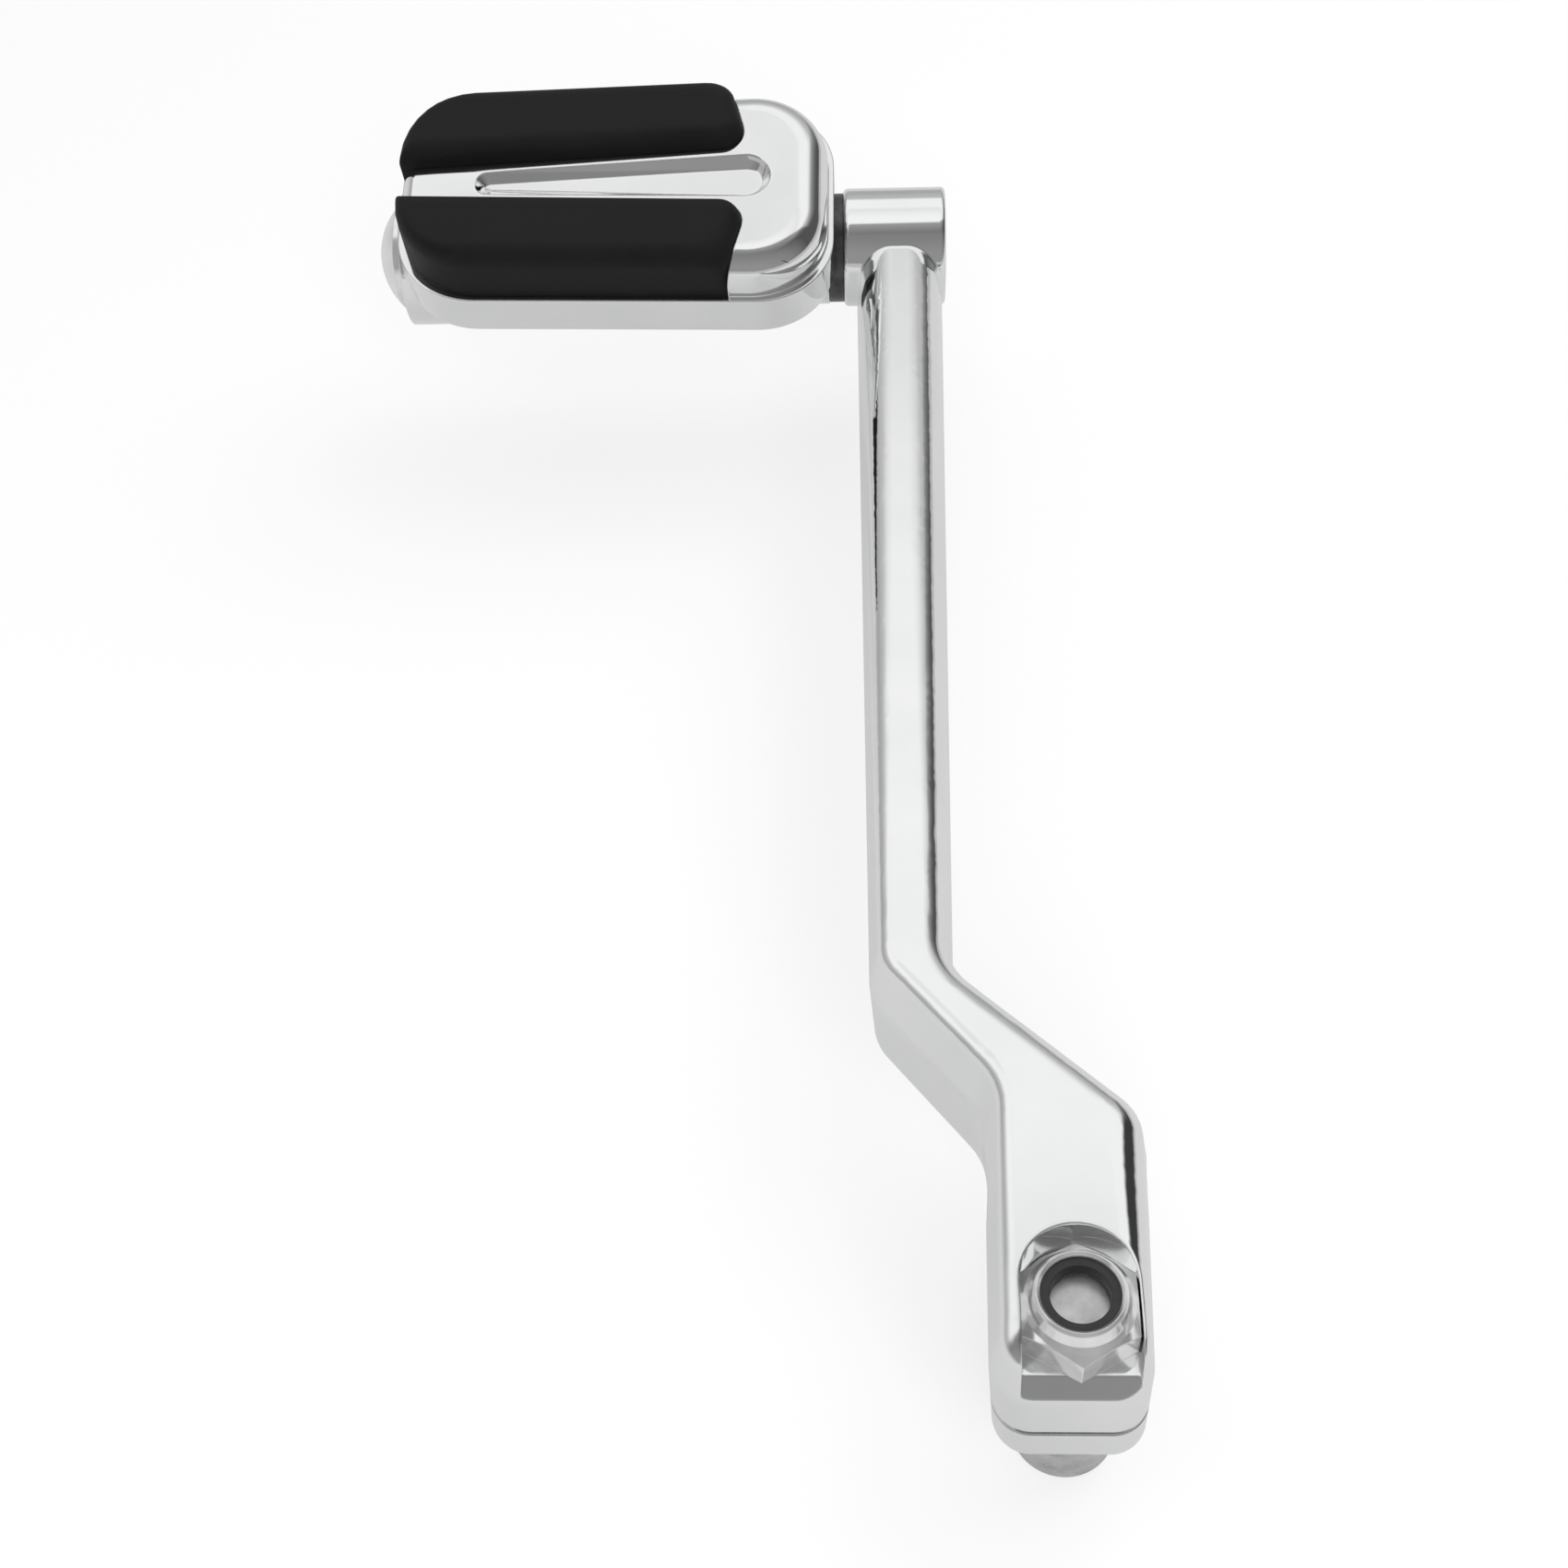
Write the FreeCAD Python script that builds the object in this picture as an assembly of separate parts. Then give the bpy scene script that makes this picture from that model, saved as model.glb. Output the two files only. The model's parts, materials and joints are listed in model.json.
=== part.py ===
"""Motorcycle gear shift lever: a cast arm with a splined pinch clamp and a rubber-padded toe peg.

Units are millimetres. The origin is the centre of the splined bore. +X runs along the bore towards
the gearbox, +Y along the arm towards the toe peg, +Z up out of the face that holds the pinch nut.
"""
import FreeCAD
import Part
import math
import os

from FreeCAD import Vector

# Clamp end of the arm
CLAMP_WIDTH = 18.56
CLAMP_LEFT_SLOPE = 0.02
CLAMP_RIGHT_SLOPE = 0.047
CLAMP_END_Y = -26.2
CLAMP_CORNER_R = 4.6
CLAMP_NOSE_R = 6.0
TOP_Z = 16.5
EAR_BOTTOM_Z = -7.8
BORE_BOSS_R = 11.0
BORE_BLEND_R = 3.0
SLIT = 1.0

# Splined bore
SPLINE_TEETH = 32
SPLINE_TIP_R = 7.55
SPLINE_ROOT_R = 8.0
SPLINE_TIP_SHARE = 0.42
SPLINE_ROOT_SHARE = 0.26
BORE_CHAMFER = 1.5

# Dogleg and straight arm, seen from above
ARM_OFFSET_X = -17.4
ARM_WIDTH_AT_DOGLEG = 10.3
ARM_WIDTH_AT_BOSS = 14.0
DOGLEG_RIGHT_START_Y = 6.6
DOGLEG_LEFT_START_Y = 9.4
DOGLEG_RIGHT_END_Y = 27.2
DOGLEG_LEFT_END_Y = 26.1
DOGLEG_OUTER_R = 7.0
DOGLEG_INNER_R = 8.0

# Arm, seen from the side
PARTING_Z = 8.2
UPPER_DRAFT = 0.16
LOWER_DRAFT = 0.02
LOWER_LEAN = 0.038
UNDERSIDE_AT_BORE_Z = -5.8
UNDERSIDE_AT_BOSS_Z = 3.8
LOW_EDGE_R = 2.4
LEFT_EDGE_R = 1.7
RIGHT_EDGE_R = 3.8
BOSS_CROWN_R = 5.2
PARTING_R = 5.0

# Peg boss at the far end of the arm
BOSS_Y = 172.1
BOSS_Z = 10.8
BOSS_R = 9.4
BOSS_LENGTH = 16.5
BOSS_OUTER_X = -26.4
BOSS_EDGE_R = 0.8

# Pinch screw and lock nut
PINCH_Y = -17.5
PINCH_R = 3.95
PINCH_HOLE_CLEARANCE = 0.2
PINCH_HEAD_R = 6.2
PINCH_HEAD_H = 11.0
PINCH_HEAD_EDGE_R = 0.6
PINCH_SOCKET_FLATS = 6.35
PINCH_SOCKET_DEPTH = 4.0
PINCH_LENGTH = 21.8
SPOT_FACE_DEPTH = 0.3
SPOT_FACE_CLEARANCE = 0.5
THREAD_CLEARANCE = 0.05
NUT_FLATS = 12.7
NUT_HEIGHT = 6.75
NUT_HEX_H = 4.4
NUT_CONE_STEP = 0.55
NUT_CONE_SLOPE = math.radians(30)
NUT_COLLAR_WALL = 0.85
NUT_CREST_STEP = 0.05
NUT_CREST_WIDTH = 0.75
NUT_INSERT_STEP = 0.7
NUT_INSERT_GRIP = 0.6
NUT_INSERT_H = 1.7
NUT_INSERT_SINK = 0.7

# Nut pocket in the top of the clamp
POCKET_FLOOR_Z = 10.5
POCKET_CLEARANCE = 0.15
POCKET_ARCH_SET_BACK = 1.666174
POCKET_LIP = 2.3
POCKET_LIP_DROP = 1.7

# Toe peg, in its own frame: x as the part's, y across the tread, z up from the bolt axis
PEG_CLOCKING = 15.0
PEG_OUTER_X = -97.6
PEG_CAP_HALF = 19.4
PEG_OUTER_HALF = 17.6
PEG_OUTER_CORNER_R = 13.0
PEG_CAP_CORNER_R = 12.0
PEG_NOSE_GAP = 1.4
FLANGE_BOTTOM_Z = 3.3
FLANGE_TOP_Z = 11.4
FLANGE_EDGE_R = 1.2
SPINE_TOP_Z = 18.5
SPINE_HALF_AT_CAP = 5.4
SPINE_HALF_AT_END = 3.3
SPINE_FALL = 1.0
CAP_LENGTH = 13.2
CAP_SWEEP = 3.6
CAP_INSET = 0.9
CAP_EDGE_R = 5.2
GROOVE_BIG_R = 3.7
GROOVE_SMALL_R = 1.6
GROOVE_BIG_X = -41.6
GROOVE_END_MARGIN = 15.2
GROOVE_DEPTH = 1.8
GROOVE_DRAFT = 1.1
PEG_TUBE_R = 11.1
PEG_TUBE_PROUD = 0.4
PEG_SPIGOT_R = 8.9
PEG_BORE_CLEARANCE = 0.06
PEG_END_PLAY = 0.05

# Rubber tread pads
PAD_TOP_Z = 21.2
PAD_EDGE_R = 3.0
PAD_CORNER_R = 3.6
PAD_INSET = 0.9

# Peg bolt, washer and split lock washer
PEG_BOLT_R = 4.7
PEG_BOLT_END_GAP = 0.65
PEG_HEAD_R = 8.33
PEG_HEAD_H = 3.5
PEG_SOCKET_FLATS = 5.56
PEG_SOCKET_DEPTH = 2.2
WASHER_R = 8.33
WASHER_T = 1.4
WASHER_CLEARANCE = 0.25
LOCK_WASHER_R = 8.65
LOCK_WASHER_T = 2.4
LOCK_WASHER_SPLIT = 1.2
LOCK_WASHER_SLANT = 20.0
LOCK_WASHER_RELIEF = 0.5

# Sizes that follow from the ones above
CLAMP_HALF = CLAMP_WIDTH / 2
BOSS_INNER_X = BOSS_OUTER_X + BOSS_LENGTH
PINCH_HOLE_R = PINCH_R + PINCH_HOLE_CLEARANCE
SPOT_FACE_Z = EAR_BOTTOM_Z + SPOT_FACE_DEPTH
POCKET_HALF = NUT_FLATS / 2 + POCKET_CLEARANCE
NUT_SIDE = NUT_FLATS / math.sqrt(3)
POCKET_ARCH_Y = PINCH_Y + NUT_SIDE / 2 - POCKET_ARCH_SET_BACK
NUT_TOP_Z = POCKET_FLOOR_Z + NUT_HEIGHT
NUT_THREAD_R = PINCH_R + THREAD_CLEARANCE
NUT_INSERT_OUTER_R = NUT_THREAD_R + NUT_INSERT_STEP
NUT_INSERT_INNER_R = PINCH_R - NUT_INSERT_GRIP
NUT_CREST_R = NUT_INSERT_OUTER_R + NUT_CREST_STEP
NUT_COLLAR_R = NUT_INSERT_OUTER_R + NUT_COLLAR_WALL
NUT_CONE_R = NUT_COLLAR_R + NUT_CONE_STEP
LOCK_WASHER_X = BOSS_OUTER_X - LOCK_WASHER_T
PEG_INNER_X = LOCK_WASHER_X - PEG_END_PLAY
PEG_NOSE_X = BOSS_OUTER_X - PEG_NOSE_GAP
CAP_X = PEG_NOSE_X - CAP_LENGTH
GROOVE_SMALL_X = PEG_OUTER_X + GROOVE_END_MARGIN
PEG_TUBE_X = PEG_OUTER_X - PEG_TUBE_PROUD
WASHER_X = PEG_TUBE_X - PEG_END_PLAY
PEG_HEAD_X = WASHER_X - WASHER_T
PEG_BOLT_LENGTH = BOSS_INNER_X - PEG_BOLT_END_GAP - PEG_HEAD_X
PEG_BORE_R = PEG_BOLT_R + PEG_BORE_CLEARANCE

X_AXIS = Vector(1, 0, 0)
Z_AXIS = Vector(0, 0, 1)
OVERCUT = 1.0
SHARP_ANGLE = math.radians(4)


def in_plan(z):
    """Place (x, y) pairs on the level z."""
    return lambda x, y: Vector(x, y, z)


def in_side(x):
    """Place (y, z) pairs on the upright plane at x."""
    return lambda y, z: Vector(x, y, z)


def rounded_edges(corners, place):
    """Edges of a closed outline through (a, b, radius) corners, each rounded by a tangent arc."""
    points = [place(a, b) for a, b, _ in corners]
    arcs = []
    ends = []
    for i, (_, _, radius) in enumerate(corners):
        here = points[i]
        back = (points[i - 1] - here).normalize()
        ahead = (points[(i + 1) % len(points)] - here).normalize()
        if radius == 0:
            arcs.append(None)
            ends.append((here, here))
            continue
        half = back.getAngle(ahead) / 2
        setback = radius / math.tan(half)
        middle = (back + ahead).normalize() * (radius / math.sin(half) - radius)
        start = here + back * setback
        end = here + ahead * setback
        arcs.append(Part.Arc(start, here + middle, end).toShape())
        ends.append((start, end))
    edges = []
    for i, (_, end) in enumerate(ends):
        start = ends[(i + 1) % len(ends)][0]
        if arcs[i]:
            edges.append(arcs[i])
        edges.append(Part.makeLine(end, start))
    return edges


def rounded_wire(corners, place):
    return Part.Wire(rounded_edges(corners, place))


def prism(wire, direction):
    return Part.Face(wire).extrude(direction)


def x_cylinder(radius, x0, x1, y=0.0, z=0.0):
    return Part.makeCylinder(radius, x1 - x0, Vector(x0, y, z), X_AXIS)


def z_cylinder(radius, z0, z1, y):
    return Part.makeCylinder(radius, z1 - z0, Vector(0, y, z0), Z_AXIS)


def hexagon(flats, place, start_angle):
    """Regular hexagon with the given width across flats, first corner at start_angle."""
    radius = flats / math.sqrt(3)
    angles = [math.radians(start_angle + 60 * i) for i in range(6)]
    return rounded_wire([(radius * math.cos(a), radius * math.sin(a), 0) for a in angles], place)


def edges_where(shape, test):
    return [edge for edge in shape.Edges if test(edge)]


def clamp_left(y):
    return -CLAMP_HALF + CLAMP_LEFT_SLOPE * y


def clamp_right(y):
    return CLAMP_HALF + CLAMP_RIGHT_SLOPE * y


def arm_corners():
    """Plan of the whole casting: clamp, dogleg and straight arm up to the boss axis."""
    near = ARM_WIDTH_AT_DOGLEG / 2
    far = ARM_WIDTH_AT_BOSS / 2
    return [
        (clamp_right(CLAMP_END_Y), CLAMP_END_Y, CLAMP_CORNER_R),
        (clamp_right(DOGLEG_RIGHT_START_Y), DOGLEG_RIGHT_START_Y, DOGLEG_OUTER_R),
        (ARM_OFFSET_X + near, DOGLEG_RIGHT_END_Y, DOGLEG_INNER_R),
        (ARM_OFFSET_X + far, BOSS_Y, 0),
        (ARM_OFFSET_X - far, BOSS_Y, 0),
        (ARM_OFFSET_X - near, DOGLEG_LEFT_END_Y, DOGLEG_OUTER_R),
        (clamp_left(DOGLEG_LEFT_START_Y), DOGLEG_LEFT_START_Y, DOGLEG_INNER_R),
        (clamp_left(CLAMP_END_Y), CLAMP_END_Y, CLAMP_CORNER_R),
    ]


def inset_corners(corners, inset):
    """The corners of an outline, drawn anticlockwise, after moving every side inwards."""
    moved = []
    for i, (x, y, radius) in enumerate(corners):
        here = Vector(x, y, 0)
        before = Vector(*corners[i - 1][:2], 0)
        after = Vector(*corners[(i + 1) % len(corners)][:2], 0)
        side_in = Z_AXIS.cross(here - before).normalize()
        side_out = Z_AXIS.cross(after - here).normalize()
        spot = here + (side_in + side_out) * (inset / (1 + side_in.dot(side_out)))
        turn = (here - before).cross(after - here).z
        moved.append((spot.x, spot.y, radius - inset * math.copysign(1, turn) if radius else 0))
    return moved


def side_inset(z):
    """How far the sides stand in at a level: they lean in both ways from the parting level."""
    if z > PARTING_Z:
        return UPPER_DRAFT * (z - PARTING_Z)
    return LOWER_DRAFT * (PARTING_Z - z)


def leaning_plan(z):
    """Place (x, y) pairs on the level z; below the parting level the casting leans towards +X."""
    return lambda x, y: Vector(x + LOWER_LEAN * max(PARTING_Z - z, 0), y, z)


def drafted_prism():
    """The plan run up and down from the parting level, its sides leaning in."""
    levels = [EAR_BOTTOM_Z - BORE_BOSS_R, PARTING_Z, TOP_Z + CLAMP_NOSE_R]
    outlines = [rounded_edges(inset_corners(arm_corners(), side_inset(z)), leaning_plan(z)) for z in levels]
    faces = []
    for low, high in zip(outlines, outlines[1:]):
        faces += [Part.makeRuledSurface(a, b) for a, b in zip(low, high)]
    faces.append(Part.Face(Part.Wire(outlines[0])))
    faces.append(Part.Face(Part.Wire(outlines[-1])))
    shell = Part.makeShell(faces)
    shell.sewShape()
    solid = Part.makeSolid(shell)
    solid.fix(1e-6, 1e-6, 1e-6)
    return solid


def arm_side():
    """Side view of the casting: level top, tapering underside and the swell under the bore."""
    x0 = ARM_OFFSET_X - ARM_WIDTH_AT_BOSS
    across = Vector(2 * ARM_WIDTH_AT_BOSS - ARM_OFFSET_X + CLAMP_WIDTH, 0, 0)
    corners = [
        (CLAMP_END_Y, EAR_BOTTOM_Z, 0),
        (0, EAR_BOTTOM_Z, 0),
        (0, UNDERSIDE_AT_BORE_Z, 0),
        (BOSS_Y, UNDERSIDE_AT_BOSS_Z, 0),
        (BOSS_Y, TOP_Z, 0),
        (CLAMP_END_Y, TOP_Z, CLAMP_NOSE_R),
    ]
    side = prism(rounded_wire(corners, in_side(x0)), across)
    side = side.fuse(x_cylinder(BORE_BOSS_R, x0, x0 + across.x)).removeSplitter()

    def meets_swell(edge):
        centre = edge.CenterOfMass
        on_swell = abs(math.hypot(centre.y, centre.z) - BORE_BOSS_R) < 0.01
        return on_swell and centre.z < 0 and edge.BoundBox.XLength > across.x / 2
    return side.makeFillet(BORE_BLEND_R, edges_where(side, meets_swell))


def edge_radius(point):
    """Rounding wanted at a point of the arm's edges: slimmer on the left, and crowned at the boss."""
    if abs(point.z - PARTING_Z) < 1e-3:
        return PARTING_R
    if point.z < PARTING_Z:
        return LOW_EDGE_R
    middle_x = ARM_OFFSET_X * min(max(point.y / DOGLEG_LEFT_END_Y, 0), 1)
    radius = RIGHT_EDGE_R if point.x > middle_x else LEFT_EDGE_R
    if point.y < 0:
        return radius + (LEFT_EDGE_R - radius) * point.y / CLAMP_END_Y
    along_arm = max(point.y - DOGLEG_LEFT_END_Y, 0) / (BOSS_Y - DOGLEG_LEFT_END_Y)
    return radius + (BOSS_CROWN_R - radius) * along_arm


def is_sharp(edge, shape):
    """Whether the two faces at an edge meet at an angle, rather than running smoothly on."""
    middle = edge.valueAt((edge.FirstParameter + edge.LastParameter) / 2)
    normals = []
    for face in shape.ancestorsOfType(edge, Part.Face):
        normals.append(face.normalAt(*face.Surface.parameter(middle)))
    return normals[0].getAngle(normals[1]) > SHARP_ANGLE


def arm_blank():
    """Outline and side view combined, with the long edges rounded by radii that change along them."""
    blank = drafted_prism().common(arm_side()).removeSplitter()
    document = FreeCAD.newDocument()
    base = document.addObject("Part::Feature")
    base.Shape = blank
    rounded = document.addObject("Part::Fillet")
    rounded.Base = base
    radii = []
    for number, edge in enumerate(blank.Edges, 1):
        if is_sharp(edge, blank) and edge.CenterOfMass.y < BOSS_Y - BOSS_R:
            start = edge.valueAt(edge.FirstParameter)
            end = edge.valueAt(edge.LastParameter)
            radii.append((number, edge_radius(start), edge_radius(end)))
    rounded.Edges = radii
    document.recompute()
    return rounded.Shape


def spline_cutter():
    """Broached spline: flat-topped teeth, with the tips and roots on true circles."""
    pitch = 2 * math.pi / SPLINE_TEETH
    tip = pitch * SPLINE_TIP_SHARE / 2
    root = pitch * SPLINE_ROOT_SHARE / 2

    def at(radius, angle):
        return Vector(-CLAMP_WIDTH, radius * math.cos(angle), radius * math.sin(angle))
    edges = []
    for i in range(SPLINE_TEETH):
        mid_tip = i * pitch
        mid_root = mid_tip + pitch / 2
        tip_arc = [at(SPLINE_TIP_R, mid_tip + a) for a in (-tip, 0, tip)]
        root_arc = [at(SPLINE_ROOT_R, mid_root + a) for a in (-root, 0, root)]
        next_tip = at(SPLINE_TIP_R, mid_tip + pitch - tip)
        edges.append(Part.Arc(*tip_arc).toShape())
        edges.append(Part.makeLine(tip_arc[2], root_arc[0]))
        edges.append(Part.Arc(*root_arc).toShape())
        edges.append(Part.makeLine(root_arc[2], next_tip))
    return prism(Part.Wire(edges), Vector(2 * CLAMP_WIDTH, 0, 0))


def nut_pocket():
    """Slot with a round inner end, open at the clamp's end, and a sloping lip below its mouth."""
    mouth_y = CLAMP_END_Y - OVERCUT
    depth = Vector(0, 0, TOP_Z - POCKET_FLOOR_Z + OVERCUT)
    slot = Part.makeBox(2 * POCKET_HALF, POCKET_ARCH_Y - mouth_y, depth.z,
                        Vector(-POCKET_HALF, mouth_y, POCKET_FLOOR_Z))
    arch = z_cylinder(POCKET_HALF, POCKET_FLOOR_Z, POCKET_FLOOR_Z + depth.z, POCKET_ARCH_Y)
    lip = [
        (CLAMP_END_Y, POCKET_FLOOR_Z - POCKET_LIP_DROP, 0),
        (CLAMP_END_Y + POCKET_LIP, POCKET_FLOOR_Z, 0),
        (CLAMP_END_Y + POCKET_LIP, POCKET_FLOOR_Z + OVERCUT, 0),
        (mouth_y, POCKET_FLOOR_Z + OVERCUT, 0),
        (mouth_y, POCKET_FLOOR_Z - POCKET_LIP_DROP, 0),
    ]
    lip_cut = prism(rounded_wire(lip, in_side(-POCKET_HALF)), Vector(2 * POCKET_HALF, 0, 0))
    return slot.fuse([arch, lip_cut])


def bore_chamfer(side):
    """Cone that breaks the bore's mouth on one face of the clamp; side is -1 or 1 along X."""
    mouth_r = SPLINE_ROOT_R + BORE_CHAMFER
    depth = mouth_r - SPLINE_TIP_R
    return Part.makeCone(mouth_r + OVERCUT, SPLINE_TIP_R, depth + OVERCUT,
                         Vector(side * (CLAMP_HALF + OVERCUT), 0, 0), Vector(-side, 0, 0))


def lever_arm():
    boss = x_cylinder(BOSS_R, BOSS_OUTER_X, BOSS_INNER_X, BOSS_Y, BOSS_Z)
    boss = boss.makeFillet(BOSS_EDGE_R, edges_where(boss, lambda e: e.BoundBox.XLength < 1e-3))
    arm = arm_blank().fuse(boss).removeSplitter()
    slit = Part.makeBox(2 * CLAMP_WIDTH, -CLAMP_END_Y + OVERCUT, SLIT,
                        Vector(-CLAMP_WIDTH, CLAMP_END_Y - OVERCUT, -SLIT / 2))
    spot_face = z_cylinder(PINCH_HEAD_R + SPOT_FACE_CLEARANCE, SPOT_FACE_Z - PINCH_HEAD_H, SPOT_FACE_Z,
                           PINCH_Y)
    cuts = [
        nut_pocket(),
        spline_cutter(),
        bore_chamfer(-1),
        bore_chamfer(1),
        slit,
        spot_face,
        z_cylinder(PINCH_HOLE_R, EAR_BOTTOM_Z - OVERCUT, TOP_Z, PINCH_Y),
        x_cylinder(PEG_BORE_R, BOSS_OUTER_X - OVERCUT, BOSS_INNER_X + OVERCUT, BOSS_Y, BOSS_Z),
    ]
    return arm.cut(cuts)


def pinch_bolt():
    """Socket cap screw, head under the lower ear."""
    head_z = SPOT_FACE_Z - PINCH_HEAD_H
    head = z_cylinder(PINCH_HEAD_R, head_z, SPOT_FACE_Z, PINCH_Y)
    rims = edges_where(head, lambda e: abs(e.CenterOfMass.z - head_z) < 1e-6)
    head = head.makeFillet(PINCH_HEAD_EDGE_R, rims)
    shank = z_cylinder(PINCH_R, SPOT_FACE_Z, SPOT_FACE_Z + PINCH_LENGTH, PINCH_Y)
    tip = edges_where(shank, lambda e: abs(e.CenterOfMass.z - SPOT_FACE_Z - PINCH_LENGTH) < 1e-6)
    shank = shank.makeChamfer(PINCH_HEAD_EDGE_R, tip)
    socket = prism(hexagon(PINCH_SOCKET_FLATS, in_plan(head_z), 0), Vector(0, 0, PINCH_SOCKET_DEPTH))
    socket.translate(Vector(0, PINCH_Y, 0))
    return head.fuse(shank).cut(socket).removeSplitter()


def nut_profile():
    """Half section of the nut's outside, as (radius, height above the floor)."""
    clear_r = NUT_SIDE + OVERCUT
    return [
        (0, 0),
        (clear_r, 0),
        (clear_r, NUT_HEX_H - (clear_r - NUT_CONE_R) * math.tan(NUT_CONE_SLOPE)),
        (NUT_CONE_R, NUT_HEX_H),
        (NUT_COLLAR_R, NUT_HEX_H + (NUT_CONE_R - NUT_COLLAR_R)),
        (NUT_CREST_R + NUT_CREST_WIDTH / 2, NUT_HEIGHT - NUT_CREST_WIDTH / 2),
        (NUT_CREST_R, NUT_HEIGHT),
        (NUT_CREST_R - NUT_CREST_WIDTH / 2, NUT_HEIGHT - NUT_CREST_WIDTH / 2),
        (NUT_CREST_R - NUT_CREST_WIDTH / 2, NUT_HEIGHT - NUT_INSERT_SINK),
        (0, NUT_HEIGHT - NUT_INSERT_SINK),
    ]


def revolved(profile, y, z):
    """Solid of revolution about an upright axis at (0, y), from (radius, height) points."""
    points = [Vector(r, y, z + h) for r, h in profile]
    face = Part.Face(Part.makePolygon(points + points[:1]))
    return face.revolve(Vector(0, y, 0), Z_AXIS, 360)


def insert_seat():
    """Solid plug of the nylon ring's outside, which the nut's collar holds."""
    bottom = NUT_TOP_Z - NUT_INSERT_SINK - NUT_INSERT_H
    return z_cylinder(NUT_INSERT_OUTER_R, bottom, bottom + NUT_INSERT_H, PINCH_Y)


def pinch_nut():
    """Hexagon lock nut with a round collar that is crimped over its nylon ring."""
    height = Vector(0, 0, NUT_HEIGHT)
    body = prism(hexagon(NUT_FLATS, in_plan(POCKET_FLOOR_Z), 90), height)
    body.translate(Vector(0, PINCH_Y, 0))
    body = body.common(revolved(nut_profile(), PINCH_Y, POCKET_FLOOR_Z))
    thread = z_cylinder(NUT_THREAD_R, POCKET_FLOOR_Z, NUT_TOP_Z, PINCH_Y)
    return body.cut([thread, insert_seat()])


def pinch_nut_insert():
    """Nylon locking ring held in the nut's collar."""
    hole = z_cylinder(NUT_INSERT_INNER_R, POCKET_FLOOR_Z, NUT_TOP_Z, PINCH_Y)
    return insert_seat().cut(hole)


def placed_on_peg(shape):
    """Move a shape from the peg's own frame to its clocked place on the lever."""
    placed = shape.copy()
    placed.rotate(Vector(0, 0, 0), X_AXIS, PEG_CLOCKING)
    placed.translate(Vector(0, BOSS_Y, BOSS_Z))
    return placed


def peg_outline(inset, z):
    """Plan of the peg: wide round nose at the lever, narrower round outer end."""
    corners = [
        (PEG_NOSE_X - inset, PEG_CAP_HALF - inset, PEG_CAP_CORNER_R),
        (PEG_OUTER_X + inset, PEG_OUTER_HALF - inset, PEG_OUTER_CORNER_R),
        (PEG_OUTER_X + inset, -PEG_OUTER_HALF + inset, PEG_OUTER_CORNER_R),
        (PEG_NOSE_X - inset, -PEG_CAP_HALF + inset, PEG_CAP_CORNER_R),
    ]
    return rounded_wire(corners, in_plan(z))


def swept_x(y):
    """Where the cap's edge against a pad lies: it runs outwards as it leaves the spine."""
    return CAP_X - CAP_SWEEP * (abs(y) - SPINE_HALF_AT_CAP) / (PEG_CAP_HALF - SPINE_HALF_AT_CAP)


def spine_outline(z):
    """Plan of the raised T: full width beyond the pads, and a tapering spine between them."""
    wide = 2 * PEG_CAP_HALF
    corners = [
        (PEG_NOSE_X + OVERCUT, wide, 0),
        (swept_x(wide), wide, 0),
        (CAP_X, SPINE_HALF_AT_CAP, PAD_CORNER_R),
        (PEG_OUTER_X - OVERCUT, SPINE_HALF_AT_END, 0),
        (PEG_OUTER_X - OVERCUT, -SPINE_HALF_AT_END, 0),
        (CAP_X, -SPINE_HALF_AT_CAP, PAD_CORNER_R),
        (swept_x(wide), -wide, 0),
        (PEG_NOSE_X + OVERCUT, -wide, 0),
    ]
    return rounded_wire(corners, in_plan(z))


def groove_outline(inset, z):
    """Teardrop: two round ends of different size joined by their common tangents."""
    big = GROOVE_BIG_R - inset
    small = GROOVE_SMALL_R - inset
    slope = math.acos((big - small) / (GROOVE_BIG_X - GROOVE_SMALL_X))

    def at(x, radius, angle):
        return Vector(x + radius * math.cos(angle), radius * math.sin(angle), z)
    lean = math.pi - slope
    big_top = at(GROOVE_BIG_X, big, lean)
    big_low = at(GROOVE_BIG_X, big, -lean)
    small_top = at(GROOVE_SMALL_X, small, lean)
    small_low = at(GROOVE_SMALL_X, small, -lean)
    edges = [
        Part.Arc(big_low, at(GROOVE_BIG_X, big, 0), big_top).toShape(),
        Part.makeLine(big_top, small_top),
        Part.Arc(small_top, at(GROOVE_SMALL_X, small, math.pi), small_low).toShape(),
        Part.makeLine(small_low, big_low),
    ]
    return Part.Wire(edges)


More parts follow.
